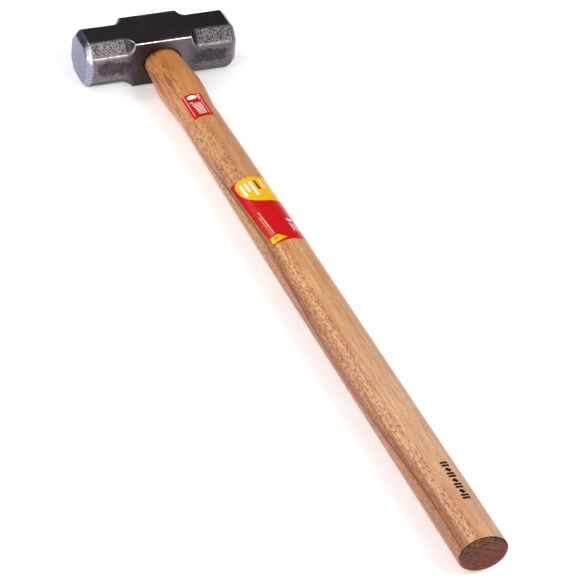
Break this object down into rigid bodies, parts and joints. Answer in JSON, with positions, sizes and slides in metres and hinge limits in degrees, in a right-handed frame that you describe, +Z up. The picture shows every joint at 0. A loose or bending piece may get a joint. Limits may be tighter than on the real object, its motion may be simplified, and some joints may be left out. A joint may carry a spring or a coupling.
{
  "type": "sledgehammer",
  "caption": "Two-handed sledgehammer with a forged steel head, round striking faces on octagonal polls, and an oval wooden handle wedged into the eye.",
  "frame": {"origin": "middle of the lower cheek of the head, straight below the middle of the eye", "axes": "+Z up out of the upper cheek, X along the head from face to face, the handle leaves the head along -Y"},
  "size_m": [0.1736, 0.914, 0.055],
  "materials": {
    "head_steel": "drop-forged, dark scale, ground striking faces",
    "hickory": "clear lacquer, satin",
    "wedge_wood": "bare end grain",
    "wedge_steel": "pressed, lightly oiled",
    "label_film": "printed adhesive film"
  },
  "bodies": {
    "root": {"hammer_head": "head_steel", "handle": "hickory", "wood_wedge": "wedge_wood", "steel_wedge_left": "wedge_steel", "steel_wedge_right": "wedge_steel", "safety_label": "label_film", "product_label": "label_film"}
  },
  "joints": []
}
